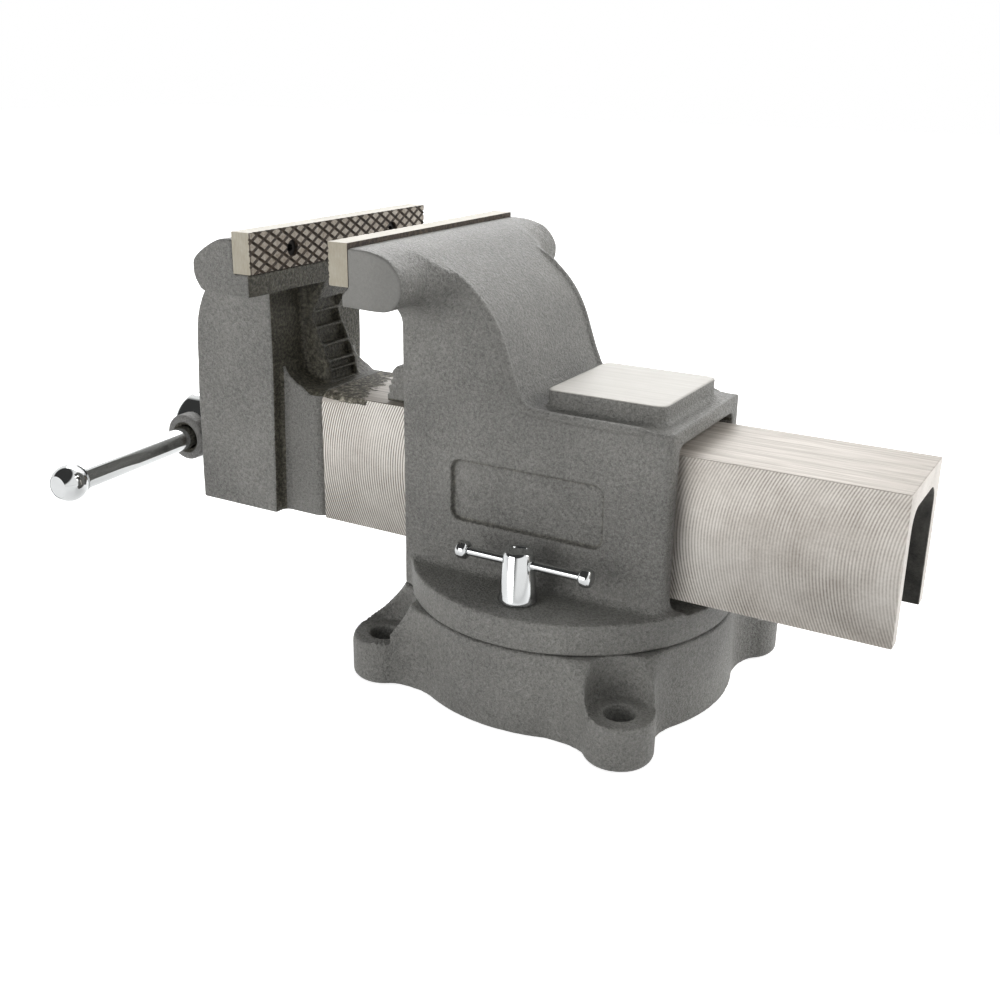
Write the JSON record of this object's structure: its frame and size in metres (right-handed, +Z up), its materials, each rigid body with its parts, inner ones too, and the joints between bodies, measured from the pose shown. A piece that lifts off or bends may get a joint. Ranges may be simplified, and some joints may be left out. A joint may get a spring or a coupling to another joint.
{
  "type": "bench vise",
  "caption": "Bench vise with a swivel base, machined slide, replaceable jaw plates, cast pipe jaws, anvil pad, sliding screw handle and two base lock bolts",
  "frame": {"origin": "on the swivel axis, on the underside of the base, where it stands on the bench", "axes": "+X along the slide towards its free rear end, +Y along the jaws, +Z up"},
  "size_m": [0.4298, 0.2496, 0.2222],
  "materials": {
    "cast_paint": "grey enamel over rough sand castings",
    "base_paint": "grey enamel over a rough sand casting",
    "slide_casting": "grey enamel on the jaw, bare milled iron on the slide",
    "jaw_steel": "ground steel with crossed grooves on the gripping face",
    "chrome_steel": "bright chrome plate",
    "screw_steel": "turned and plated steel",
    "nut_bronze": "machined bronze",
    "dark_steel": "blackened steel",
    "ring_paint": "grey painted cast rings"
  },
  "bodies": {
    "base": {"swivel_base": "base_paint"},
    "turret": {"vise_body": "cast_paint", "fixed_jaw_plate": "jaw_steel", "fixed_plate_screws": "dark_steel", "spindle_nut": "nut_bronze", "nut_screws": "dark_steel", "clamp_nuts": "dark_steel"},
    "front": {"front_jaw": "slide_casting", "front_jaw_plate": "jaw_steel", "front_plate_screws": "dark_steel", "spindle_bush": "nut_bronze"},
    "screw": {"spindle": "screw_steel", "thrust_washer": "nut_bronze", "inner_washer": "nut_bronze", "retaining_collar": "dark_steel", "collar_pin": "screw_steel", "handle_rings": "ring_paint"},
    "handle": {"handle_bar": "chrome_steel", "near_knob": "chrome_steel", "far_knob": "chrome_steel"},
    "near_lock": {"near_lock_bolt": "chrome_steel"},
    "near_bar": {"near_lock_bar": "chrome_steel", "near_bar_caps": "chrome_steel"},
    "far_lock": {"far_lock_bolt": "chrome_steel"},
    "far_bar": {"far_lock_bar": "chrome_steel", "far_bar_caps": "chrome_steel"}
  },
  "joints": [
    {"name": "swivel", "type": "hinge", "parent": "base", "child": "turret", "pos_m": [0, 0, 0.0433], "axis": [0, 0, 1], "continuous": true},
    {"name": "jaw_slide", "type": "slide", "parent": "turret", "child": "front", "axis": [-1, 0, 0], "range_m": [-0.0464, 0.1057]},
    {"name": "screw_turn", "type": "hinge", "parent": "front", "child": "screw", "pos_m": [-0.2458, 0, 0.09055], "axis": [1, 0, 0], "range_deg": [-6345, 2787]},
    {"name": "handle_slide", "type": "slide", "parent": "screw", "child": "handle", "axis": [0, 0.9994, 0.0349], "range_m": [-0.088, 0.08]},
    {"name": "near_lock_turn", "type": "hinge", "parent": "turret", "child": "near_lock", "pos_m": [0.0022, -0.0635, 0.0594], "axis": [0, 0, 1], "range_deg": [-14, 14]},
    {"name": "near_bar_slide", "type": "slide", "parent": "near_lock", "child": "near_bar", "axis": [1, 0, 0], "range_m": [-0.024, 0.019]},
    {"name": "far_lock_turn", "type": "hinge", "parent": "turret", "child": "far_lock", "pos_m": [0.0022, 0.0635, 0.0594], "axis": [0, 0, 1], "range_deg": [-14, 14]},
    {"name": "far_bar_slide", "type": "slide", "parent": "far_lock", "child": "far_bar", "axis": [1, 0, 0], "range_m": [-0.024, 0.019]}
  ],
  "couplings": [
    {"joint": "screw_turn", "follows": "jaw_slide", "rad_per_m": -1047.2}
  ]
}
